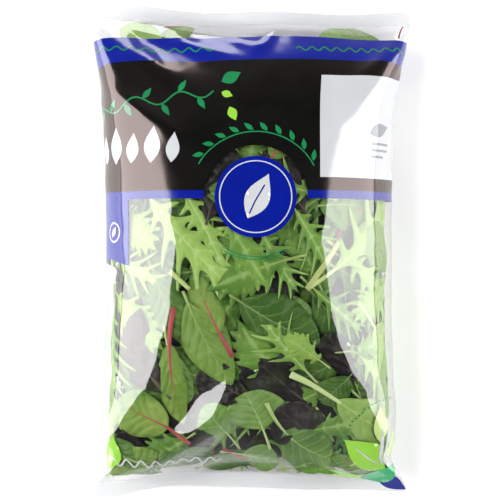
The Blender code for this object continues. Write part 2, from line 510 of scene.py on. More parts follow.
def leaf_outline(base, tip, breadth, count=12, skew=0.0):
    """A pointed leaf from base to tip; breadth is its widest part, as a share of its length."""
    run = np.subtract(tip, base)
    left = np.array([-run[1], run[0]])
    outline = []
    for way in (1, -1):
        for i in range(count):
            t = i / count if way == 1 else 1 - i / count
            swell = math.sin(math.pi * t**0.85) ** 1.15 * breadth / 2
            outline.append(tuple(np.add(base, run * t) + left * (swell * way + skew * math.sin(math.pi * t))))
    return close_up(outline)


def stroke_outline(points, width):
    """A ribbon of even width along a line of points."""
    line = np.array(points)
    direction = np.gradient(line, axis=0)
    normal = np.stack([-direction[:, 1], direction[:, 0]], axis=1)
    normal *= width / 2 / np.linalg.norm(direction, axis=1)[:, None]
    return [tuple(p) for p in line + normal] + [tuple(p) for p in (line - normal)[::-1]]


def arc_line(centre, radius, start, end, count=40):
    """Points along an arc between two directions in degrees."""
    turns = np.radians(np.linspace(start, end, count))
    return [(centre[0] + radius * math.cos(a), centre[1] + radius * math.sin(a)) for a in turns]


# %% Filling an outline and laying it on the film
def within(points, outline):
    """Which of the points lie inside a closed outline."""
    x, y = points[:, 0][:, None], points[:, 1][:, None]
    a = np.array(outline)
    b = np.roll(a, -1, axis=0)
    rise = np.where(b[:, 1] == a[:, 1], 1e-12, b[:, 1] - a[:, 1])
    crossing = ((a[:, 1] > y) != (b[:, 1] > y)) & (x < (b[:, 0] - a[:, 0]) * (y - a[:, 1]) / rise + a[:, 0])
    return crossing.sum(1) % 2 == 1


def fill(outline, cuts=(), spacing=2.1 * MM):
    """Triangles that fill an outline less its cuts: their corners and faces."""
    corners, edges = [], []
    for loop in (outline, *cuts):
        first = len(corners)
        corners += loop
        edges += [(first + i, first + (i + 1) % len(loop)) for i in range(len(loop))]
    border = np.array(corners)
    lowest, highest = np.array(outline).min(0), np.array(outline).max(0)
    us, vs = np.meshgrid(*(np.arange(lowest[i] + spacing / 2, highest[i], spacing) for i in (0, 1)))
    spots = np.stack([us.ravel(), vs.ravel()], axis=1)
    if len(spots):
        spots = spots[within(spots, outline)]
    if len(spots):
        gap = np.min(np.linalg.norm(spots[:, None] - border[None, ::2], axis=2), axis=1)
        spots = spots[gap > 0.6 * spacing]
    everything = [Vector(p) for p in corners] + [Vector(p) for p in spots]
    points, _, faces, *_ = geometry.delaunay_2d_cdt(everything, edges, [], 0, 1e-7)
    points, faces = np.array([p[:] for p in points]), np.array(faces)
    centres = points[faces].mean(1)
    keep = within(centres, outline)
    for cut in cuts:
        keep &= ~within(centres, cut)
    return points, faces[keep]


INK_HEIGHT = 0.14 * MM  # how far the first ink lies outside the film
INK_STEP = 0.12 * MM  # and each further layer over it
printed = {}


def lay(ink, outline, cuts=(), layer=0):
    """Fills an outline with an ink and carries it onto the film."""
    points, faces = fill(outline, cuts)
    place, normal = on_film(points[:, 0], points[:, 1])
    place = place + normal * (INK_HEIGHT + layer * INK_STEP)
    printed.setdefault(ink, []).append((place, faces))


# %% The fields
MIDDLE_BACK = GIRTH / 2
band_top, band_line, band_foot, stripe_foot = (flat_place(0, y)[1] for y in (84.2, 74.8, 23.0, 20.0))
disc_centre = tuple(flat_place(3.0, 20.8))
DISC, WINDOW = 24.7 * MM, 31.4 * MM
window = round_outline(disc_centre, WINDOW)

# Gathered corners pull the fields' upper edges down at both sides
SAG_LEFT, SAG_RIGHT = 5 * MM, 2.5 * MM


def gathered_edge(v, share):
    """An edge round the tube at a height, pulled down by a share of the sag at each side."""
    u = np.linspace(-MIDDLE_BACK, MIDDLE_BACK, 180)
    left = np.clip(1 - np.abs(u + FILM_WIDTH / 2) / (50 * MM), 0, 1)
    right = np.clip(1 - np.abs(u - FILM_WIDTH / 2) / (35 * MM), 0, 1)
    return list(zip(u, v - share * (SAG_LEFT * left**2 + SAG_RIGHT * right**2)))


upper, lower = gathered_edge(band_top, 0.8), gathered_edge(band_line, 1.2)
lay("blue", close_up(upper + lower[::-1]))
lay("black", close_up(lower + [(MIDDLE_BACK, band_foot), (-MIDDLE_BACK, band_foot)]), [window])
lay("blue", box_outline(-MIDDLE_BACK, stripe_foot, MIDDLE_BACK, band_foot), [window])
lay("blue", round_outline(disc_centre, DISC))

panel_low, panel_high = flat_place(41.5, 28.4), flat_place(41.5, 68.2)
lay("white", box_outline(panel_low[0], panel_low[1], FILM_WIDTH / 2 + 12 * MM, panel_high[1]), layer=1)
panel_mark = flat_place(79, 46.5)
lay("grey", leaf_outline((panel_mark[0] - 9 * MM, panel_mark[1] - 2 * MM),
                         (panel_mark[0] + 7 * MM, panel_mark[1] + 3 * MM), 0.5), layer=2)
BAR_HEIGHT = 1.5 * MM
for drop, reach in ((9, 8), (13, 8), (17, 4)):
    bar_left, bar_right = panel_mark[0] - 7 * MM, panel_mark[0] + reach * MM
    bar_foot = panel_mark[1] - drop * MM
    lay("grey", box_outline(bar_left, bar_foot, bar_right, bar_foot + BAR_HEIGHT), layer=2)

tab_left, tab_right = -FILM_WIDTH / 2 - 14 * MM, flat_place(-73, 0)[0]
tab_foot, tab_notch = stripe_foot - 41 * MM, 5 * MM
tab_outline = [
    (tab_left, tab_foot),
    ((tab_left + tab_right) / 2, tab_foot + tab_notch),
    (tab_right, tab_foot),
    (tab_right, stripe_foot),
    (tab_left, stripe_foot),
]
lay("blue", close_up(tab_outline))
print("fields laid:", {ink: len(parts) for ink, parts in printed.items()})


# %% Plain shapes in place of lettering
def from_disc(turn, radius):
    """A place by its direction in degrees and its distance from the middle of the disc."""
    return (disc_centre[0] + radius * math.cos(math.radians(turn)),
            disc_centre[1] + radius * math.sin(math.radians(turn)))


def wavy_line(start, end, height, waves, count=90):
    """Points along a line that waves from start to end."""
    run = np.subtract(end, start)
    left = np.array([-run[1], run[0]]) / np.linalg.norm(run)
    steps = np.linspace(0, 1, count)
    return [tuple(np.add(start, run * t) + left * height * math.sin(2 * math.pi * waves * t)) for t in steps]


# a thin ring and one leaf on the disc
ring = DISC - 2.6 * MM
lay("white", round_outline(disc_centre, ring), [round_outline(disc_centre, ring - 0.7 * MM)], layer=1)
disc_vein = stroke_outline([from_disc(250, 11 * MM), from_disc(262, 3 * MM), from_disc(52, 9 * MM)], 0.9 * MM)
lay("white", leaf_outline(from_disc(250, 14 * MM), from_disc(60, 16 * MM), 0.50), [disc_vein], layer=1)

# a garland of small leaves over the disc
for turn in range(32, 152, 12):
    stem, tip = from_disc(turn, 41 * MM), from_disc(turn + 7, 46 * MM)
    lay("green", leaf_outline(stem, tip, 0.42), layer=1)
lay("green", stroke_outline(arc_line(disc_centre, 40 * MM, 28, 150), 0.8 * MM), layer=1)

# two fine arcs under it
for radius, start, end in ((36.2, 236, 300), (38.0, 240, 296)):
    lay("green", stroke_outline(arc_line(disc_centre, radius * MM, start, end), 0.6 * MM))

# upright white leaves at the left, and a green vine above them
ROW_LEAVES = 5
row_left, row_foot = flat_place(-94, 33.2)
row_right = flat_place(-41, 33.2)[0]
for index in range(ROW_LEAVES):
    base_u = row_left + (row_right - row_left) * (index + 0.5) / ROW_LEAVES
    tall = (23 if index % 2 else 19) * MM
    lay("white", leaf_outline((base_u, row_foot), (base_u + 2 * MM, row_foot + tall), 0.44), layer=1)
vine = wavy_line(tuple(flat_place(-92, 53)), tuple(flat_place(-22, 62)), 3.4 * MM, 3.0)
lay("green", stroke_outline(vine, 1.1 * MM), layer=1)
for index in range(6, 88, 12):
    stem = vine[index]
    way = 1 if (index // 12) % 2 else -1
    lay("green", leaf_outline(stem, (stem[0] + 5 * MM, stem[1] + way * 8 * MM), 0.40), layer=1)

# three falling leaves
lay("green", leaf_outline(tuple(flat_place(-17.5, 65.6)), tuple(flat_place(-5.5, 69.4)), 0.62), layer=1)
lay("lime", leaf_outline(tuple(flat_place(-17.3, 61.6)), tuple(flat_place(-10, 59.8)), 0.62), layer=1)
lay("lime", leaf_outline(tuple(flat_place(-12.4, 55.4)), tuple(flat_place(-8.2, 50.2)), 0.60), layer=1)

# wavy green lines along the blue line
line_height = (band_top + band_line) / 2
for start, end in ((-96, -22), (28, 94)):
    left_end = (flat_place(start, 80)[0], line_height - 1 * MM)
    right_end = (flat_place(end, 80)[0], line_height)
    lay("green", stroke_outline(wavy_line(left_end, right_end, 1.4 * MM, 9), 0.9 * MM), layer=1)

# a ring with a leaf on the tab, and a white wave at the left foot
tab_middle = (flat_place(-82, 8)[0], stripe_foot - 20 * MM)
lay("white", round_outline(tab_middle, 6.5 * MM, 48), [round_outline(tab_middle, 5.3 * MM, 48)], layer=1)
lay("white", leaf_outline((tab_middle[0] - 2.4 * MM, tab_middle[1] - 3 * MM),
                          (tab_middle[0] + 2.2 * MM, tab_middle[1] + 3.6 * MM), 0.5), layer=1)
foot_wave = wavy_line(tuple(flat_place(-86, -83)), tuple(flat_place(-18, -82.5)), 2.4 * MM, 8)
lay("white", stroke_outline(foot_wave, 1.1 * MM))
print("shapes laid:", {ink: len(parts) for ink, parts in printed.items()})

# %% Leaf shapes at the foot
def foot_leaf(ink, base, tip, breadth, skew=0.0, layer=0):
    """Lays a leaf shape between two places on the front, given in percent."""
    outline = leaf_outline(tuple(flat_place(*base)), tuple(flat_place(*tip)), breadth, skew=skew)
    lay(ink, outline, layer=layer)


foot_leaf("lime", (83, -87), (57, -74.5), 0.54, skew=-0.05)
foot_leaf("lime", (75, -91.5), (35, -88.5), 0.13, skew=-0.05)
foot_leaf("pale", (79.5, -75.5), (78.5, -61), 0.43)
foot_leaf("pale", (84.5, -83), (87, -71), 0.36)
foot_leaf("white", (80, -85), (80.5, -69), 0.10, layer=1)
foot_leaf("white", (80.5, -85), (85.5, -75), 0.10, layer=1)
foot_leaf("white", (80, -85), (62, -77), 0.04, layer=1)
foot_leaf("teal", (68, -91), (89, -84), 0.38, skew=-0.10, layer=1)
foot_leaf("blue", (77, -91), (98, -95.5), 0.62, skew=0.08)
foot_leaf("lime", (-87, -86.5), (-84, -72.5), 0.42, skew=-0.05)

# a dotted arc round the right foot: middle and half axes in percent
ARC_ACROSS, ARC_ALONG, ARC_BREADTH, ARC_HEIGHT = 89, -84, 35, 26
DOT, DOT_SIDES = 0.7 * MM, 8
for turn in range(96, 186, 4):
    dot_across = ARC_ACROSS + ARC_BREADTH * math.cos(math.radians(turn))
    dot_along = ARC_ALONG + ARC_HEIGHT * math.sin(math.radians(turn))
    lay("green", round_outline(tuple(flat_place(dot_across, dot_along)), DOT, DOT_SIDES))


# %% Printing ink
# Flexographic ink is a thin even coat under the film's own polish: flat colour, sharp gloss. The press
# leaves it a little thinner in places, which shows as a slight mottle.
def ink_material(name, colour, mottle, gleam="FFFFFF"):
    """Ink of one colour. mottle is how far its value drifts, gleam the tint of its gloss."""
    material, nodes, out = new_material(name)
    place = add(nodes, "ShaderNodeTexCoord")
    cloud = add(nodes, "ShaderNodeTexNoise", {"Scale": 60.0, "Detail": 3.0},
                {"Vector": place.outputs["Object"]})
    tint = add(nodes, "ShaderNodeValToRGB", links={0: cloud.outputs["Fac"]})
    base = np.array(linear(colour))
    ramp(tint, (0.3, (*(base[:3] * (1 - mottle)), 1)), (0.7, (*np.minimum(base[:3] * (1 + mottle), 1), 1)))
    crinkle = add(nodes, "ShaderNodeTexNoise", {"Scale": 38.0, "Detail": 2.0, "Roughness": 0.45},
                  {"Vector": place.outputs["Object"]})
    bump = add(nodes, "ShaderNodeBump", {"Strength": 0.35, "Distance": 0.0012},
               {"Height": crinkle.outputs["Fac"]})
    polish = {
        "Roughness": 0.13, "IOR": 1.5, "Specular IOR Level": 1.0, "Specular Tint": linear(gleam),
        "Coat Weight": 0.6, "Coat Roughness": 0.11, "Coat Tint": linear(gleam),
    }
    shader = add(nodes, "ShaderNodeBsdfPrincipled", polish,
                 {"Base Color": tint.outputs[0], "Normal": bump.outputs[0]})
    nodes.links.new(shader.outputs[0], out.inputs["Surface"])
    return material


# Each ink: its colour, and how much it is mottled
INKS = {
    "black": ("0D0F0E", 0.25), "blue": ("051782", 0.06), "white": ("BABCBF", 0.03), "grey": ("7C7F82", 0.05),
    "green": ("1A7A46", 0.08), "lime": ("86BD3C", 0.06), "pale": ("AFC57C", 0.05), "teal": ("37A36A", 0.06),
}
for ink, (colour, mottle) in INKS.items():
    corners, faces, count = [], [], 0
    for place_part, face_part in printed[ink]:
        corners.append(place_part)
        faces.append(face_part + count)
        count += len(place_part)
    mesh = bpy.data.meshes.new(f"print_{ink}")
    mesh.from_pydata(np.concatenate(corners).tolist(), [], np.concatenate(faces).tolist())
    mesh.polygons.foreach_set("use_smooth", np.ones(len(mesh.polygons), bool))
    gleam = "FFECE8" if ink == "black" else "FFFFFF"
    mesh.materials.append(ink_material(f"flexo_ink_{ink}", colour, mottle, gleam))
    piece = bpy.data.objects.new(f"print_{ink}", mesh)
    bpy.context.scene.collection.objects.link(piece)
    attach(piece, "root")
    print(f"print_{ink}: {len(mesh.polygons)} triangles")

# %% [markdown]
# ## The leaves, each kind once
# Baby leaves are thin blades on a stalk that runs on as the midrib. Each kind is modelled once by hand: a
# grid is the blade, its rows are drawn in to the leaf's outline, and Solidify gives it its thickness. The
# stalk is a small disc, extruded and narrowed step by step. The cut end is at the origin and +Y is the tip.

# %% Blade and stalk
LEAF_THICKNESS = 0.4 * MM
FAR_FROM_RIB = 9.0  # mm; further from a rib than its pale halo reaches


def blade(name, length, width, start, outline, rows=20, columns=8):
    """A blade from start (share of the length) to the tip; outline gives its half width along it."""
    bpy.ops.object.select_all(action="DESELECT")
    run = length * (1 - start)
    bpy.ops.mesh.primitive_grid_add(x_subdivisions=columns, y_subdivisions=rows, size=1,
                                    location=(0, length * start + run / 2, 0))
    piece = new_piece(name)
    piece.scale = (width, run, 1)
    bpy.ops.object.transform_apply(location=True, rotation=True, scale=True)
    bpy.ops.object.mode_set(mode="EDIT")
    for row in range(rows + 1):
        y = length * start + run * row / rows
        pick(piece, lambda co: abs(co.y - y) < run / rows / 3)
        bpy.ops.transform.resize(value=(outline(row / rows), 1, 1), center_override=(0, y, 0))
    bpy.ops.object.mode_set(mode="OBJECT")
    return piece


def stalk(name, length, radius, tip_radius, steps=12, flatness=0.75, sides=8):
    """A stalk and midrib along +Y, from a disc extruded and narrowed."""
    bpy.ops.object.select_all(action="DESELECT")
    bpy.ops.mesh.primitive_circle_add(vertices=sides, radius=radius, fill_type="NGON",
                                      rotation=(math.pi / 2, 0, 0))
    piece = new_piece(name)
    bpy.ops.object.transform_apply(location=True, rotation=True, scale=True)
    bpy.ops.object.mode_set(mode="EDIT")
    bpy.ops.mesh.select_all(action="SELECT")
    bpy.ops.transform.resize(value=(1, 1, flatness), center_override=(0, 0, 0))
    taper = (tip_radius / radius) ** (1 / steps)
    for step in range(1, steps + 1):
        y = length * step / steps
        bpy.ops.mesh.extrude_region_move(TRANSFORM_OT_translate={"value": (0, length / steps, 0)})
        bpy.ops.transform.resize(value=(taper, 1, taper), center_override=(0, y, 0))
    bpy.ops.mesh.select_all(action="SELECT")
    bpy.ops.mesh.normals_make_consistent(inside=False)
    bpy.ops.object.mode_set(mode="OBJECT")
    return piece


# %% [markdown]
# ## Feathery leaves
# Mizuna and mustard leaves are cut into long lobes. Half a blade is grown from a narrow strip: the strip's
# outer edge is extruded into a lobe in three steps, and the last of them narrows to a point. Mirror makes the
# other half. One Subdivision rounds the bays between the lobes.

# %% Growing lobes
def grow(piece, at, move, narrow):
    """Extrudes the free edge nearest to a point, moves and narrows it, and returns its new middle."""
    mesh = bmesh.from_edit_mesh(piece.data)
    for part in (*mesh.verts, *mesh.edges, *mesh.faces):
        part.select = False
    free = [e for e in mesh.edges if len(e.link_faces) == 1 and max(v.co.x for v in e.verts) > 1e-6]
    near = min(free, key=lambda e: ((e.verts[0].co + e.verts[1].co) / 2 - Vector(at)).length)
    middle = (near.verts[0].co + near.verts[1].co) / 2
    near.select_set(True)
    bmesh.update_edit_mesh(piece.data)
    bpy.ops.mesh.extrude_edges_move(TRANSFORM_OT_translate={"value": move})
    bpy.ops.transform.resize(value=(narrow, narrow, narrow), center_override=middle + Vector(move))
    return middle + Vector(move)


LOBE_STEPS = ((0.30, 0.62), (0.30, 1.05), (0.40, 0.12))  # share of the reach, and how much it narrows


def feather(name, length, start, lobes, strip, swell, rows):
    """A lobed blade. lobes: row, reach in mm, sweep in degrees. Returns it and its ribs."""
    bpy.ops.object.select_all(action="DESELECT")
    run = length * (1 - start)
    bpy.ops.mesh.primitive_grid_add(x_subdivisions=1, y_subdivisions=rows, size=1,
                                    location=(0.5 * strip, length * start + run / 2, 0))
    piece = new_piece(name)
    piece.scale = (strip, run, 1)
    bpy.ops.object.transform_apply(location=True, rotation=True, scale=True)
    bpy.ops.object.mode_set(mode="EDIT")
    widths = [0.5 + swell * math.sin(math.pi * (row / rows) ** 1.4) for row in range(rows + 1)]
    for row, width in enumerate(widths):
        y = length * start + run * row / rows
        pick(piece, lambda co: abs(co.y - y) < run / rows / 3)
        bpy.ops.transform.resize(value=(width, 1, 1), center_override=(0, y, 0))
    pick(piece, lambda co: co.y > length - 1e-6)
    bpy.ops.mesh.extrude_region_move(TRANSFORM_OT_translate={"value": (0, 7 * MM, 0)})
    bpy.ops.transform.resize(value=(0.15, 1, 1), center_override=(0, length, 0))
    bpy.ops.mesh.select_mode(type="EDGE")
    ribs = [((0, length * start, 0), (0, length, 0))]
    for row, reach, sweep in lobes:
        y = length * start + run * (row + 0.5) / rows
        out = Vector((math.cos(math.radians(sweep)), math.sin(math.radians(sweep)), 0))
        at = Vector((strip * widths[row], y, 0))
        for share, narrow in LOBE_STEPS:
            at = grow(piece, at, out * (reach * MM * share), narrow)
        ribs.append(((0, y - 5 * MM, 0), tuple(at)))
    bpy.ops.mesh.select_mode(type="VERT")
    bpy.ops.object.mode_set(mode="OBJECT")
    apply_modifier(piece, "MIRROR", use_axis=(True, False, False), merge_threshold=0.0001)
    apply_modifier(piece, "SUBSURF", levels=1, render_levels=1)
    return piece, ribs


# %% One of each
def finished_leaf(blade_piece, stalk_piece, length, start, ribs=None):
    """Gives the blade its thickness, joins the stalk to it and keeps the shape for copying."""
    apply_modifier(blade_piece, "SOLIDIFY", thickness=LEAF_THICKNESS, offset=0)
    blade_faces, blade_points = len(blade_piece.data.polygons), len(blade_piece.data.vertices)
    half = np.abs(points_of(blade_piece.data)[:, 0]).max()
    activate(stalk_piece)
    bpy.ops.object.mode_set(mode="EDIT")
    bpy.ops.mesh.select_all(action="SELECT")
    bpy.ops.transform.translate(value=(0, 0, -0.25 * MM))
    bpy.ops.object.mode_set(mode="OBJECT")
    activate(blade_piece, stalk_piece)
    bpy.ops.object.join()
    points = points_of(blade_piece.data)
    faces = [tuple(p.vertices) for p in blade_piece.data.polygons]
    rib = np.full(len(points), FAR_FROM_RIB)
    for a, b in ribs or []:
        a, run = np.array(a), np.subtract(b, a)
        for way in (1, -1):
            mirrored = points * (way, 1, 0)
            t = np.clip(((mirrored - a) @ run) / (run @ run), 0, 1)
            rib = np.minimum(rib, np.linalg.norm(mirrored - (a + t[:, None] * run), axis=1) / MM)
    bpy.data.objects.remove(blade_piece)
    across = points[:, 0] / half * 0.5 + 0.5
    along = (points[:, 1] / length - start) / (1 - start)
    return {
        "points": points, "faces": faces, "blade_faces": blade_faces, "blade_points": blade_points,
        "length": length, "half": half, "rib": rib, "uv": np.stack([across, along], axis=1),
    }


def oval(peak, power, base=0.06):
    """An outline whose widest place is at peak, as a share of the blade."""
    bend = math.log(0.5) / math.log(peak)
    return lambda t: max(base if t < 0.5 else 0.05, math.sin(math.pi * min(max(t, 0), 1) ** bend) ** power)


# Each kind: length, width, where its blade starts, its outline, and the stalk's radius at both ends, in mm
LEAVES = {}
for kind, length, width, start, outline, radius, tip_radius in (
    ("spinach", 62, 29, 0.12, oval(0.52, 0.68), 1.1, 0.10),
    ("tatsoi", 58, 35, 0.36, oval(0.56, 0.52), 1.4, 0.30),
    ("chard", 66, 25, 0.30, oval(0.48, 0.62), 1.7, 0.50),
    ("lettuce", 60, 38, 0.06, oval(0.60, 0.55), 1.3, 0.15),
):
    length, width = length * MM, width * MM
    leaf_blade = blade(f"{kind}_blade", length, width, start, outline)
    leaf_stalk = stalk(f"{kind}_stalk", length * 0.93, radius * MM, tip_radius * MM)
    LEAVES[kind] = finished_leaf(leaf_blade, leaf_stalk, length, start)

# Each lobed kind: length, where its blade starts, rows, strip width, swell, stalk radius, and its lobes
for kind, length, start, rows, strip, swell, radius, lobes in (
    ("mizuna", 68, 0.24, 10, 2.8, 1.1, 1.2,
     ((1, 9, 26), (3, 18, 34), (5, 23, 42), (7, 18, 52), (9, 11, 62))),
    ("mustard", 60, 0.26, 8, 4.6, 1.7, 1.1,
     ((0, 5, 16), (2, 9, 28), (4, 12, 38), (5, 6, 44), (6, 9, 54), (7, 6, 60))),
):
    feather_blade, feather_ribs = feather(f"{kind}_blade", length * MM, start, lobes, strip * MM, swell, rows)
    feather_stalk = stalk(f"{kind}_stalk", length * 0.94 * MM, radius * MM, 0.25 * MM)
    LEAVES[kind] = finished_leaf(feather_blade, feather_stalk, length * MM, start, feather_ribs)

CUT_STALK = 40 * MM
only_stalk = stalk("cut_stalk", CUT_STALK, 1.9 * MM, 1.5 * MM, steps=8)
stalk_points = points_of(only_stalk.data)
LEAVES["stalk"] = {
    "points": stalk_points, "faces": [tuple(p.vertices) for p in only_stalk.data.polygons],
    "blade_faces": 0, "blade_points": 0, "length": CUT_STALK, "half": 2 * MM,
    "rib": np.full(len(stalk_points), FAR_FROM_RIB), "uv": np.zeros((len(stalk_points), 2)),
}
bpy.data.objects.remove(only_stalk)
for kind, leaf in LEAVES.items():
    print(f"{kind}: {len(leaf['faces'])} faces, {leaf['length'] / MM:.0f} mm")

# %% [markdown]
# ## Packing the leaves
# A packed leaf lies along the film, bent with it, a little tilted and never flat. `pack_leaf` takes a leaf
# from its cut end to its tip on the flat tube, curves, cups and ruffles it, and sets it at a depth behind
# the film. What would stick out is flattened against the film, as it is in a real bag.

# %% Put one leaf in the bag
packed = {kind: [] for kind in LEAVES}
rng = np.random.default_rng(11)
# How high the edge of each kind ruffles, in mm
RUFFLE = {
    "spinach": 1.1, "tatsoi": 0.9, "chard": 1.2, "lettuce": 2.6, "mizuna": 1.3, "mustard": 1.5, "stalk": 0.0,
}
WAVER = 1.3 * MM  # how far an outline strays sideways
SKEW = 0.14  # and how far one half runs ahead of the other
TILT = 0.45  # how far a leaf tilts, as a share of its depth
TILT_DEPTH = 4  # in mm; deeper leaves tilt no more than this
NEAREST = 0.45 * MM  # the least depth behind the film
CLEAR_END = 1 * MM  # kept free next to a weld
LEAVES_TOP = FILM_LENGTH / 2 - WELD_TOP - CLEAR_END
LEAVES_BASE = -FILM_LENGTH / 2 + WELD_BASE + CLEAR_END
SIDE_SLACK = 3 * MM  # air between the leaves and the film where it turns round a side
SIDE_REACH = 15 * MM  # and how far from the side that air reaches
PRESSED = 0.1  # the share of its relief that a leaf keeps where it is flattened against the film


def pack_leaf(kind, cut_end, tip, depth, breadth=1.0, bend=0.0, tone=None, flip=False, limit_top=LEAVES_TOP):
    """Packs a leaf between two places on the flat tube, at a depth in mm."""
    leaf = LEAVES[kind]
    points = leaf["points"].copy()
    run = np.subtract(tip, cut_end)
    scale = np.linalg.norm(run) / leaf["length"]
    is_blade = np.arange(len(points)) < leaf["blade_points"]
    stalk_scale = breadth if kind == "stalk" else scale
    points[:, 0] *= np.where(is_blade, scale * breadth, stalk_scale) * (-1 if flip else 1)
    points *= (1, scale, max(0.7, min(scale, 1.2)))
    length, half = leaf["length"] * scale, leaf["half"] * scale * breadth
    along, across = points[:, 1] / length, points[:, 0] / half
    phases, sizes = rng.uniform(0, 2 * math.pi, 4), rng.uniform(0.6, 1.3, 4)
    edge = np.clip(np.abs(across), 0, 1.2) ** 1.6
    long_waves = sizes[0] * np.sin(9 * along + phases[0] + 1.2 * across)
    short_waves = 0.6 * sizes[1] * np.sin(17 * along + phases[1])
    ruffle = RUFFLE[kind] * MM * edge * (long_waves + short_waves)
    # curled across and along, some leaves more than others
    cup = -rng.uniform(0.6, 3.4) * MM * across**2 - rng.uniform(0.2, 2.2) * MM * (2 * along - 1) ** 2
    cup += 0.8 * MM * sizes[2] * np.sin(4 * along + phases[2])
    height = points[:, 2] + (ruffle + cup) * (kind != "stalk")
    # the two halves are not quite alike, and the outline strays a little
    points[:, 0] *= 1 + 0.07 * sizes[3] * np.sin(7 * along + phases[3] + 2 * np.sign(across))
    stray_x = np.sin(points[:, 1] / (7 * MM) + phases[0]) * np.sin(points[:, 0] / (9 * MM) + phases[1])
    stray_y = np.sin(points[:, 0] / (6 * MM) + phases[2]) * np.cos(points[:, 1] / (10 * MM))
    waver = WAVER * np.stack([stray_x, stray_y], axis=1)
    points[:, :2] += waver * (np.minimum(np.abs(across), 1) * (kind != "stalk"))[:, None]
    points[:, 1] += SKEW * points[:, 0] * np.sin(phases[2]) * is_blade
    # bent along its length, then laid from the cut end to the tip and kept between the welds
    turn = math.radians(bend) * (along - 0.5)
    x = points[:, 0] * np.cos(turn) - length * math.radians(bend) * (along * (along - 1)) / 2
    y = points[:, 1] + points[:, 0] * np.sin(turn)
    way = run / np.linalg.norm(run)
    u = cut_end[0] + way[0] * y + way[1] * x
    v = cut_end[1] + way[1] * y - way[0] * x
    v -= max(v.max() - limit_top, 0) + min(v.min() - LEAVES_BASE, 0)
    tilt = rng.uniform(-0.5, 0.5, 2) * min(depth, TILT_DEPTH) * TILT
    deep = (depth + tilt[0] * across + tilt[1] * (2 * along - 1)) * MM - height
    to_side = np.abs(np.mod(u - FILM_WIDTH / 2 + GIRTH / 4, GIRTH / 2) - GIRTH / 4)
    slack = SIDE_SLACK * np.exp(-((to_side / SIDE_REACH) ** 2))
    nearest = NEAREST + PRESSED * (height.max() - height)
    place = inside(u, v, np.maximum(deep, nearest) + slack)
    tones = rng.random() if tone is None else tone
    packed[kind].append((place, leaf, tones))
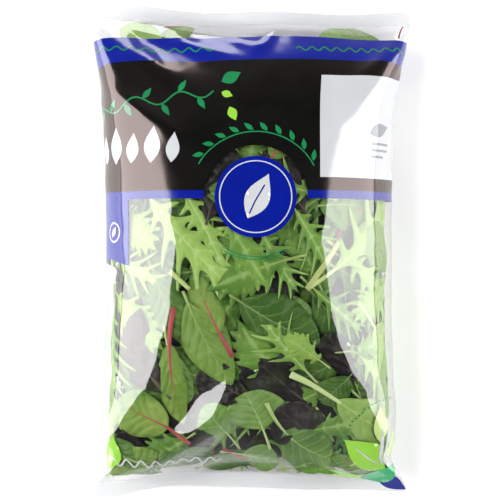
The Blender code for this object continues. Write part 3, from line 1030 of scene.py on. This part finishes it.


# %% [markdown]
# ### The leaves that show
# The front of the bag is read leaf by leaf, so these are placed one by one: two big spinach leaves in the
# middle, crimson-ribbed chard at the left, feathery mizuna above and between, and dark red lettuce in the
# gaps and in the clear ring round the disc, where its near-black tones are partly painted shade.
# Places are percent of the bag's half width and half length, from the cut end to the tip.

# %% Listed leaves
SHOWN = (
    # kind, cut end, tip, depth, breadth, bend, tone, flip
    ("spinach", (-40, -16), (-11, -52), 0.8, 0.92, 14, 0.66, False),
    ("chard", (-10, -41), (-33, -9.5), 2.2, 0.98, -14, 0.62, False),
    ("chard", (-45.5, -22), (-40, -68), 1.2, 0.60, 30, 0.55, True),
    ("tatsoi", (-52, -26), (-38, -60), 2.6, 0.60, 10, 0.35, False),
    ("chard", (-36, -76), (-81, -59), 1.0, 1.60, 8, 0.80, False),
    ("spinach", (-12, -17), (42, -36.5), 2.3, 1.22, 12, 0.06, False),
    ("mizuna", (42, -53), (9, -28), 0.9, 1.00, -10, 0.45, False),
    ("mustard", (48, -46), (21, -34), 0.8, 1.10, 8, 0.98, True),
    ("tatsoi", (24, -48), (87, -80), 1.0, 0.58, -12, 0.78, False),
    ("mizuna", (34, -15), (90, 20), 1.2, 1.05, 10, 0.85, False),
    ("mizuna", (46, 4), (86, -26), 2.2, 1.10, -18, 0.75, True),
    ("spinach", (62, -48), (43, -60), 1.2, 1.60, 6, 0.15, False),
    ("tatsoi", (12, -79), (-3, -55), 2.2, 1.35, 8, 0.50, False),
    ("tatsoi", (9.3, -59.5), (50, -84), 0.8, 0.95, 58, 0.28, True),
    ("tatsoi", (-6, -79), (-27, -60), 2.8, 1.05, 6, 0.45, False),
    ("lettuce", (-47, -58), (-90, -14), 2.0, 0.72, -8, 0.85, False),
    # dark lettuce under the front leaves: red lettuce whose near-black tones partly paint the shade in the
    # gaps
    ("lettuce", (46, -80), (16, -62), 2.4, 1.15, 10, 0.25, False),
    ("lettuce", (34, -60), (-4, -38), 3.4, 1.00, 0, 0.10, False),
    ("lettuce", (2, -58), (-32, -48), 3.2, 1.00, 0, 0.20, True),
    ("lettuce", (66, -52), (46, -32), 3.4, 0.90, 0, 0.15, False),
    ("mizuna", (-70, 30), (-18, -10), 0.9, 1.10, 12, 0.90, False),
    ("mizuna", (-48, 30), (-16, -6), 2.0, 0.95, -14, 0.70, True),
    ("mizuna", (-98, 4), (-56, -12), 1.4, 1.00, 10, 0.95, False),
    ("mustard", (-92, -14), (-56, -36), 2.6, 1.00, -10, 0.85, True),
    ("mustard", (-90, 18), (-60, 2), 2.4, 1.10, -16, 0.92, True),
    # dark lettuce in the clear ring round the disc: painted shade for the shadow of the black print round it
    ("lettuce", (-34, 20), (-8, 38), 1.6, 1.00, 8, 0.15, False),
    ("lettuce", (34, 14), (8, 38), 1.9, 1.00, -8, 0.30, True),
    ("lettuce", (-26, 10), (-18, 34), 1.3, 0.90, 8, 0.05, False),
    ("mustard", (34, -2), (-20, -14), 1.6, 1.15, 12, 0.22, False),
    ("mizuna", (2, 14), (26, -14), 1.9, 1.05, 14, 0.30, False),
    ("mizuna", (20, 22), (46, -6), 1.4, 1.00, -10, 0.40, True),
    ("mustard", (-18, 18), (8, -12), 1.5, 1.00, 6, 0.50, False),
    ("spinach", (-2, 10), (-36, -12), 2.8, 1.00, -10, 0.40, False),
    ("spinach", (-62, -4), (-44, -34), 2.8, 1.05, -10, 0.25, True),
    ("mizuna", (30, -10), (66, -30), 2.9, 1.00, 8, 0.18, False),
    ("tatsoi", (66, -20), (92, -46), 1.6, 1.05, 8, 0.85, False),
    ("mizuna", (58, -36), (92, -62), 2.4, 1.00, -8, 0.90, False),
    ("mustard", (50, -40), (82, -36), 1.8, 0.90, 8, 0.55, False),
    ("chard", (98, -30), (66, -44), 2.8, 1.00, 8, 0.80, False),
    ("mustard", (26, -74), (70, -66), 2.9, 1.00, 8, 0.35, False),
    ("spinach", (-64, -86), (-22, -78), 1.0, 0.90, 10, 0.12, False),
    ("tatsoi", (-18, -82), (18, -88), 0.9, 0.85, -12, 0.42, False),
    ("spinach", (-34, -90), (6, -84), 1.8, 0.95, -6, 0.10, True),
    ("mustard", (-30, -70), (-62, -84), 2.4, 1.00, -6, 0.30, True),
    ("tatsoi", (-94, -66), (-70, -86), 1.6, 0.95, 6, 0.15, False),
    ("spinach", (-92, -90), (-56, -80), 2.2, 0.90, -8, 0.75, True),
    ("mustard", (16, -90), (56, -84), 1.6, 0.85, 6, 0.25, False),
    ("spinach", (84, -90), (50, -84), 2.2, 0.85, 6, 0.60, False),
    ("tatsoi", (-38, 78), (-80, 89), 0.9, 0.75, 8, 0.80, False),
    ("spinach", (-66, 80), (-34, 90), 1.6, 0.80, -8, 0.70, False),
    ("tatsoi", (32, 78), (62, 91), 1.2, 0.90, 6, 0.60, False),
    ("spinach", (92, 80), (52, 91), 0.9, 0.90, -8, 0.75, True),
    ("stalk", (-48, -8), (-36, -15), 0.9, 0.85, 0, 0.90, False),
    ("stalk", (-17, -78.5), (-2, -83), 0.7, 0.90, 0, 0.00, False),
    ("stalk", (34, -15), (53, 3), 0.7, 1.00, 4, 0.80, False),
    ("stalk", (-53, 89.5), (-42, 90), 0.8, 0.35, 0, 0.00, False),
    ("stalk", (94, 86), (97, 91), 0.7, 0.45, 0, 0.00, False),
)
for kind, cut_end, tip, *rest in SHOWN:
    pack_leaf(kind, flat_place(*cut_end), flat_place(*tip), *rest)
print(f"{len(SHOWN)} leaves placed by hand")

# %% [markdown]
# ### The leaves behind and all round
# The rest is filled in by a seeded draw: jittered rows of places round the whole tube, in three layers, each
# deeper than the last and given darker tones as painted shade, so that gaps in one layer show leaves of the
# next.

# %% Fill the bag
# Each kind's share of the filling
SHARES = {
    "mizuna": 0.20, "mustard": 0.16, "spinach": 0.23, "tatsoi": 0.16, "chard": 0.09, "lettuce": 0.13,
    "stalk": 0.03,
}
# The shortest and the longest of each kind, in mm
LENGTHS = {
    "mizuna": (50, 74), "mustard": (44, 66), "spinach": (42, 66), "tatsoi": (38, 58), "chard": (46, 66),
    "lettuce": (40, 62), "stalk": (18, 40),
}
# Each layer: depth and pitch in mm, and whether it leaves the listed front free
LAYERS = ((1.3, 31, True), (5.2, 29, False), (9.5, 33, False))
DEEP_SHADE_TONE = 0.45  # leaves further in get darker tones: painted shade deep in the heap
FRONT_CLEAR = 80 * MM  # half width of the listed front
FILL_TOP = band_top - 6 * MM  # keeps the filling out of the clear strip over the print
for depth, pitch, skips_front in LAYERS:
    rounds = round(GIRTH / (pitch * MM))
    levels = round((FILM_LENGTH - 50 * MM) / (pitch * MM))
    for level in range(levels):
        for turn in range(rounds):
            jitter = rng.uniform(-0.38, 0.38, 2) * pitch * MM
            u = -FILM_WIDTH / 2 + GIRTH * (turn + 0.5 * (level % 2)) / rounds + jitter[0]
            v = (level - (levels - 1) / 2) * pitch * MM + jitter[1]
            kind = rng.choice(list(SHARES), p=list(SHARES.values()))
            length = rng.uniform(*LENGTHS[kind]) * MM
            angle = rng.uniform(0, 2 * math.pi)
            reach = np.array([math.cos(angle), math.sin(angle)]) * length / 2
            bend, tone = rng.uniform(-22, 22), rng.random()
            if skips_front and abs(u) < FRONT_CLEAR and v < stripe_foot:
                continue
            middle = np.array([u, v])
            # the deeper layers take darker tones, painted shade for the depth of the heap
            pack_leaf(str(kind), middle - reach, middle + reach, depth + rng.uniform(-0.5, 0.8),
                      rng.uniform(0.85, 1.15), bend, tone if skips_front else tone * DEEP_SHADE_TONE,
                      rng.random() < 0.5, FILL_TOP)
print("packed:", {kind: len(copies) for kind, copies in packed.items()})

# %% [markdown]
# ## Leaf flesh
# A leaf is a waxy skin over wet cells: satin gloss, a green that drifts over the blade, and a net of veins
# that is paler than the flesh and slightly sunk. The veins are drawn from the leaf's own map: the midrib
# down the middle, and side veins that leave it at a slant and fade before the edge. Each leaf also carries
# its own tone, from dark old leaves at 0 to pale young ones at 1; the deeper layers have their tones
# lowered, which paints the shade deep in the heap.

# %% Leaf materials
def leaf_material(name, dark, middle, light, vein, side_veins, gloss_at=0.42, blotch=None, vein_reach=1.0):
    """Leaf skin. side_veins is how many pairs the blade has, or 0 for a lobed leaf with a rib attribute."""
    material, nodes, out = new_material(name)
    place = add(nodes, "ShaderNodeTexCoord")
    tone = add(nodes, "ShaderNodeAttribute", attribute_name="tone")
    drift = add(nodes, "ShaderNodeTexNoise", {"Scale": 55.0, "Detail": 3.0},
                {"Vector": place.outputs["Object"]})
    shift = add(nodes, "ShaderNodeMath", {1: 0.7, 2: -0.35}, {0: drift.outputs["Fac"]},
                operation="MULTIPLY_ADD")
    level = add(nodes, "ShaderNodeMath", links={0: tone.outputs["Fac"], 1: shift.outputs[0]}, operation="ADD")
    flesh = add(nodes, "ShaderNodeValToRGB", links={0: level.outputs[0]})
    ramp(flesh, (0.05, linear(dark)), (0.5, linear(middle)), (0.95, linear(light)))
    colour = flesh.outputs[0]
    if blotch:
        patchy = add(nodes, "ShaderNodeTexNoise", {"Scale": 38.0, "Detail": 2.0},
                     {"Vector": place.outputs["Object"]})
        spread = add(nodes, "ShaderNodeMapRange", {1: 0.52, 2: 0.66}, {0: patchy.outputs["Fac"]})
        mixed = add(nodes, "ShaderNodeMix", {7: linear(blotch)}, {0: spread.outputs[0], 6: colour},
                    data_type="RGBA")
        colour = mixed.outputs[2]
    net = add(nodes, "ShaderNodeTexVoronoi", {"Scale": 330.0}, {"Vector": place.outputs["Object"]},
              feature="DISTANCE_TO_EDGE")
    fine = add(nodes, "ShaderNodeMapRange", {1: 0.0, 2: 0.10, 3: 0.09, 4: 0.0}, {0: net.outputs["Distance"]})
    if side_veins:
        layout = add(nodes, "ShaderNodeUVMap", uv_map="leaf")
        wobble = add(nodes, "ShaderNodeTexNoise", {"Scale": 75.0, "Detail": 1.0},
                     {"Vector": place.outputs["Object"]})
        parts = add(nodes, "ShaderNodeSeparateXYZ", links={0: layout.outputs[0]})
        across = add(nodes, "ShaderNodeMath", {1: 2.0, 2: -1.0}, {0: parts.outputs["X"]},
                     operation="MULTIPLY_ADD")
        away = add(nodes, "ShaderNodeMath", links={0: across.outputs[0]}, operation="ABSOLUTE")
        side_step = add(nodes, "ShaderNodeMath", links={0: across.outputs[0]}, operation="SIGN")
        climb = add(nodes, "ShaderNodeMath", {1: 0.75}, {0: away.outputs[0]}, operation="POWER")
        rise = add(nodes, "ShaderNodeMath", {1: -0.34}, {0: climb.outputs[0], 2: parts.outputs["Y"]},
                   operation="MULTIPLY_ADD")
        count = add(nodes, "ShaderNodeMath", {1: float(side_veins)}, {0: rise.outputs[0]},
                    operation="MULTIPLY")
        stagger = add(nodes, "ShaderNodeMath", {1: 0.22}, {0: side_step.outputs[0], 2: count.outputs[0]},
                      operation="MULTIPLY_ADD")
        bent = add(nodes, "ShaderNodeMath", {1: 0.9}, {0: wobble.outputs["Fac"], 2: stagger.outputs[0]},
                   operation="MULTIPLY_ADD")
        saw = add(nodes, "ShaderNodeMath", {1: 0.5}, {0: bent.outputs[0]}, operation="PINGPONG")
        width = add(nodes, "ShaderNodeMapRange", {1: 0.0, 2: 0.8, 3: 0.075, 4: 0.02}, {0: away.outputs[0]})
        side_line = add(nodes, "ShaderNodeMapRange", {1: 0.0, 3: 1.0, 4: 0.0},
                        {0: saw.outputs[0], 2: width.outputs[0]}, interpolation_type="SMOOTHSTEP")
        fade = add(nodes, "ShaderNodeMapRange", {1: 0.3 * vein_reach, 2: vein_reach, 3: 0.48, 4: 0.0},
                   {0: away.outputs[0]})
        faint = add(nodes, "ShaderNodeMath", links={0: side_line.outputs[0], 1: fade.outputs[0]},
                    operation="MULTIPLY")
        taper = add(nodes, "ShaderNodeMapRange", {1: 0.0, 2: 1.0, 3: 0.06, 4: 0.012}, {0: parts.outputs["Y"]})
        mid_line = add(nodes, "ShaderNodeMapRange", {1: 0.0, 3: 1.0, 4: 0.0},
                       {0: away.outputs[0], 2: taper.outputs[0]}, interpolation_type="SMOOTHSTEP")
        veins = add(nodes, "ShaderNodeMath", links={0: mid_line.outputs[0], 1: faint.outputs[0]},
                    operation="MAXIMUM")
        halo = add(nodes, "ShaderNodeMapRange", {1: 0.0, 2: 0.22, 3: 0.12, 4: 0.0}, {0: saw.outputs[0]})
        pucker = add(nodes, "ShaderNodeMapRange", {1: 0.0, 2: 0.42}, {0: saw.outputs[0]},
                     interpolation_type="SMOOTHSTEP")
    else:
        rib = add(nodes, "ShaderNodeAttribute", attribute_name="rib")
        veins = add(nodes, "ShaderNodeMapRange", {1: 0.05, 2: 0.75, 3: 0.9, 4: 0.0}, {0: rib.outputs["Fac"]},
                    interpolation_type="SMOOTHSTEP")
        halo = add(nodes, "ShaderNodeMapRange", {1: 0.0, 2: 2.2, 3: 0.30, 4: 0.0}, {0: rib.outputs["Fac"]})
        pucker = add(nodes, "ShaderNodeMapRange", {1: 0.0, 2: 2.6}, {0: rib.outputs["Fac"]},
                     interpolation_type="SMOOTHSTEP")
    strong = add(nodes, "ShaderNodeMath", {1: 0.55}, {0: veins.outputs[0]}, operation="MULTIPLY")
    soft = add(nodes, "ShaderNodeMath", links={0: fine.outputs[0], 1: halo.outputs[0]}, operation="ADD")
    paler = add(nodes, "ShaderNodeMix", {7: linear(light)}, {0: soft.outputs[0], 6: colour}, data_type="RGBA")
    veined = add(nodes, "ShaderNodeMix", {7: linear(vein)}, {0: strong.outputs[0], 6: paler.outputs[2]},
                 data_type="RGBA")
    skin = add(nodes, "ShaderNodeBump", {"Strength": 0.5, "Distance": 0.0004},
               {"Height": net.outputs["Distance"]})
    puckered = add(nodes, "ShaderNodeBump", {"Strength": 0.8, "Distance": 0.0005},
                   {"Height": pucker.outputs[0], "Normal": skin.outputs[0]})
    waves = add(nodes, "ShaderNodeTexNoise", {"Scale": 130.0, "Detail": 1.0},
                {"Vector": place.outputs["Object"]})
    relief = add(nodes, "ShaderNodeBump", {"Strength": 0.7, "Distance": 0.0032},
                 {"Height": waves.outputs["Fac"], "Normal": puckered.outputs[0]})
    uneven = add(nodes, "ShaderNodeMapRange", {1: 0.3, 2: 0.7, 3: gloss_at - 0.07, 4: gloss_at + 0.1},
                 {0: drift.outputs["Fac"]})
    shader = add(nodes, "ShaderNodeBsdfPrincipled", {"IOR": 1.42, "Specular IOR Level": 0.35},
                 {"Base Color": veined.outputs[2], "Roughness": uneven.outputs[0],
                  "Normal": relief.outputs[0]})
    nodes.links.new(shader.outputs[0], out.inputs["Surface"])
    return material


def stalk_material(name, low_tone, high_tone, threshold=0.5):
    """Stalk skin: wet, finely grained, between two colours by the leaf's tone."""
    material, nodes, out = new_material(name)
    place = add(nodes, "ShaderNodeTexCoord")
    tone = add(nodes, "ShaderNodeAttribute", attribute_name="tone")
    grain = add(nodes, "ShaderNodeTexNoise", {"Scale": 300.0, "Detail": 2.0},
                {"Vector": place.outputs["Object"]})
    shift = add(nodes, "ShaderNodeMath", {1: 0.3, 2: -0.15}, {0: grain.outputs["Fac"]},
                operation="MULTIPLY_ADD")
    level = add(nodes, "ShaderNodeMath", links={0: tone.outputs["Fac"], 1: shift.outputs[0]}, operation="ADD")
    tint = add(nodes, "ShaderNodeValToRGB", links={0: level.outputs[0]})
    ramp(tint, (threshold - 0.4, linear(low_tone)), (threshold + 0.4, linear(high_tone)))
    bump = add(nodes, "ShaderNodeBump", {"Strength": 0.2, "Distance": 0.0003},
               {"Height": grain.outputs["Fac"]})
    shader = add(nodes, "ShaderNodeBsdfPrincipled", {"IOR": 1.42, "Roughness": 0.34},
                 {"Base Color": tint.outputs[0], "Normal": bump.outputs[0]})
    nodes.links.new(shader.outputs[0], out.inputs["Surface"])
    return material


# Each kind: the skin of its blade, in dark, middle and pale flesh and its veins, and the skin of its stalk
LOOKS = {
    "spinach": (leaf_material("spinach_leaf_skin", "345A1A", "5C7F30", "819F4B", "9FB573", 6.5),
                stalk_material("spinach_stalk_skin", "738D44", "9FB273")),
    "tatsoi": (leaf_material("tatsoi_leaf_skin", "3F6627", "6F9445", "97B461", "BBD48E", 5.0),
               stalk_material("tatsoi_stalk_skin", "A0BB6C", "C7D998")),
    "chard": (leaf_material("chard_leaf_skin", "44691D", "6B8C36", "88A34C", "7B2A2E", 5.5, blotch="527D25",
                            vein_reach=0.55),
              stalk_material("crimson_stalk_skin", "9C2F3A", "B14B51")),
    "lettuce": (leaf_material("red_lettuce_skin", "110E0E", "251F1F", "3B332F", "52493D", 4.0,
                              blotch="252F15"),
                stalk_material("lettuce_rib_skin", "3F332F", "645E49")),
    "mizuna": (leaf_material("mizuna_leaf_skin", "447421", "729B3F", "99B95D", "B6CE8C", 0),
               stalk_material("mizuna_stalk_skin", "9BB665", "C0D18F")),
    "mustard": (leaf_material("mustard_leaf_skin", "36611A", "618C32", "8AAB4E", "A0BD78", 0),
                stalk_material("mustard_stalk_skin", "8AA556", "AFC17E")),
    "stalk": (None, stalk_material("cut_stalk_skin", "882E2E", "B3C57D")),
}

# %% Join the copies, one piece for each kind
for kind, copies in packed.items():
    points = np.concatenate([place for place, _, _ in copies])
    offsets = np.cumsum([0] + [len(place) for place, _, _ in copies])
    faces, slots = [], []
    for first, (_, leaf, _) in zip(offsets, copies):
        faces += [tuple(int(first) + i for i in face) for face in leaf["faces"]]
        slots += [0] * leaf["blade_faces"] + [1] * (len(leaf["faces"]) - leaf["blade_faces"])
    name = "cut_stalks" if kind == "stalk" else f"{kind}_leaves"
    mesh = bpy.data.meshes.new(name)
    mesh.from_pydata(points.tolist(), [], faces)
    for material in LOOKS[kind]:
        mesh.materials.append(material or LOOKS[kind][1])
    mesh.polygons.foreach_set("material_index", slots)
    mesh.polygons.foreach_set("use_smooth", np.ones(len(faces), bool))
    for attribute, values in (
        ("tone", np.concatenate([np.full(len(place), tone) for place, _, tone in copies])),
        ("rib", np.concatenate([leaf["rib"] for _, leaf, _ in copies])),
    ):
        layer = mesh.attributes.new(attribute, "FLOAT", "POINT")
        layer.data.foreach_set("value", values.astype(np.float32))
    loop_vertex = np.empty(len(mesh.loops), int)
    mesh.loops.foreach_get("vertex_index", loop_vertex)
    uv = np.concatenate([leaf["uv"] for _, leaf, _ in copies])
    mesh.uv_layers.new(name="leaf").data.foreach_set("uv", uv[loop_vertex].astype(np.float32).ravel())
    piece = bpy.data.objects.new(name, mesh)
    bpy.context.scene.collection.objects.link(piece)
    activate(piece)
    bpy.ops.object.mode_set(mode="EDIT")
    bpy.ops.mesh.select_all(action="SELECT")
    bpy.ops.mesh.normals_make_consistent(inside=False)
    bpy.ops.object.mode_set(mode="OBJECT")
    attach(piece, "root")
    triangles = sum(len(face) - 2 for face in faces)
    print(f"{name}: {len(copies)} copies, {triangles} triangles")

# %% [markdown]
# ## The heart of the heap
# Behind the last layer that can be seen lie more leaves, which only show as darkness. A lumpy core, the
# film's own tube drawn in, stands for them; its near-black colour is painted shade for the depth of the heap.

# %% Core
bpy.ops.object.select_all(action="DESELECT")
bpy.ops.mesh.primitive_grid_add(x_subdivisions=64, y_subdivisions=56, size=1)
core = new_piece("painted_shade_core")
CORE_SHARE = 0.79  # of the film's length
CORE_DEPTH, CORE_LUMPS = 17, 2  # in mm
core.scale = (FILM_WIDTH, FILM_LENGTH * CORE_SHARE, 1)
bpy.ops.object.transform_apply(location=True, rotation=True, scale=True)
apply_modifier(core, "SOLIDIFY", thickness=RIM, offset=0)
core_flat = points_of(core.data)
core_u = np.where(core_flat[:, 2] > 0, core_flat[:, 0], GIRTH / 2 - core_flat[:, 0])
core_v = core_flat[:, 1]
lumps = np.sin(core_u * 190 + 1.3) * np.sin(core_v * 210) + np.sin(core_u * 330 + core_v * 260 + 2)
core_place = inside(core_u, core_v, (CORE_DEPTH + CORE_LUMPS * lumps) * MM)
for vertex, point in zip(core.data.vertices, core_place):
    vertex.co = point
core.data.polygons.foreach_set("use_smooth", np.ones(len(core.data.polygons), bool))
# near-black flesh: painted shade in place of the leaves deep in the heap
core.data.materials.append(leaf_material("packed_leaf_shade", "060A04", "0D1307", "171F0B", "11180A", 0, 0.6))
for attribute, value in (("tone", 0.4), ("rib", FAR_FROM_RIB)):
    layer = core.data.attributes.new(attribute, "FLOAT", "POINT")
    layer.data.foreach_set("value", np.full(len(core_u), value, np.float32))
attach(core, "root")
print(f"painted_shade_core: {len(core.data.polygons)} faces")

# %% [markdown]
# ## Studio
# The pack lies on a white table between two large softboxes. They stand at either side, so that the sides of
# the film mirror them as pale veils, while the middle mirrors the dark ceiling and stays clear. A small strip
# over the top picks out the folds below the upper weld.

# %% Table, lights and camera
bpy.ops.object.select_all(action="DESELECT")
bpy.ops.mesh.primitive_plane_add(size=8)
floor = new_piece("studio_table")
table_top, nodes, out = new_material("white_laminate")
place_node = add(nodes, "ShaderNodeTexCoord")
speck = add(nodes, "ShaderNodeTexNoise", {"Scale": 30.0}, {"Vector": place_node.outputs["Object"]})
tint = add(nodes, "ShaderNodeValToRGB", links={0: speck.outputs["Fac"]})
ramp(tint, (0.3, linear("F8F8F8")), (0.7, linear("FCFCFC")))
shader = add(nodes, "ShaderNodeBsdfPrincipled", {"Roughness": 0.7}, {"Base Color": tint.outputs[0]})
nodes.links.new(shader.outputs[0], out.inputs["Surface"])
floor.data.materials.append(table_top)

LAMP_DISTANCE = 0.80  # from the bag, in metres
# Each lamp: direction, its length across and up in metres, and power in watts
LAMPS = {
    "softbox_left": ((-0.84, 0, 0.545), (1.10, 1.00), 15.0),
    "softbox_right": ((0.84, 0, 0.545), (0.95, 1.00), 10.9),
    "strip_top": ((-0.25, 0.93, 0.26), (0.50, 0.22), 1.3),
}
for name, (direction, (lamp_width, lamp_height), power) in LAMPS.items():
    lamp = bpy.data.lights.new(name, "AREA")
    lamp.shape = "RECTANGLE"
    lamp.size = lamp_width
    lamp.size_y = lamp_height
    lamp.energy = power
    stand = bpy.data.objects.new(name, lamp)
    bpy.context.scene.collection.objects.link(stand)
    direction = Vector(direction).normalized()
    stand.location = direction * LAMP_DISTANCE + Vector((0, 0, BAG_HEIGHT / 2))
    stand.rotation_euler = direction.to_track_quat("Z", "Y").to_euler()
    stand.visible_camera = False

world = bpy.data.worlds.new("studio_dark")
bpy.context.scene.world = world
world.use_nodes = True
world.node_tree.nodes.clear()
sky = world.node_tree
direction = add(sky, "ShaderNodeTexCoord")
upward = add(sky, "ShaderNodeSeparateXYZ", links={0: direction.outputs["Generated"]})
fade = add(sky, "ShaderNodeValToRGB", links={0: upward.outputs["Z"]})
ramp(fade, (0.0, (0.5, 0.5, 0.5, 1)), (0.5, (0.12, 0.12, 0.12, 1)), (0.8, (0.015, 0.015, 0.015, 1)))
shade = add(sky, "ShaderNodeBackground", links={0: fade.outputs[0]})
add(sky, "ShaderNodeOutputWorld", links={0: shade.outputs[0]})

camera = bpy.data.objects.new("camera", bpy.data.cameras.new("camera"))
bpy.context.scene.collection.objects.link(camera)
camera.data.lens = 120
FRAME_SHARE = 0.998  # the side of the frame, as a share of the bag's length
seal_height = 21 * MM
camera_rise = BAG_LENGTH * FRAME_SHARE * camera.data.lens / camera.data.sensor_width
camera.location = (0, 0, seal_height + camera_rise)
bpy.context.scene.camera = camera
bpy.context.scene.view_settings.view_transform = "Standard"
print("camera at", [round(c, 3) for c in camera.location])
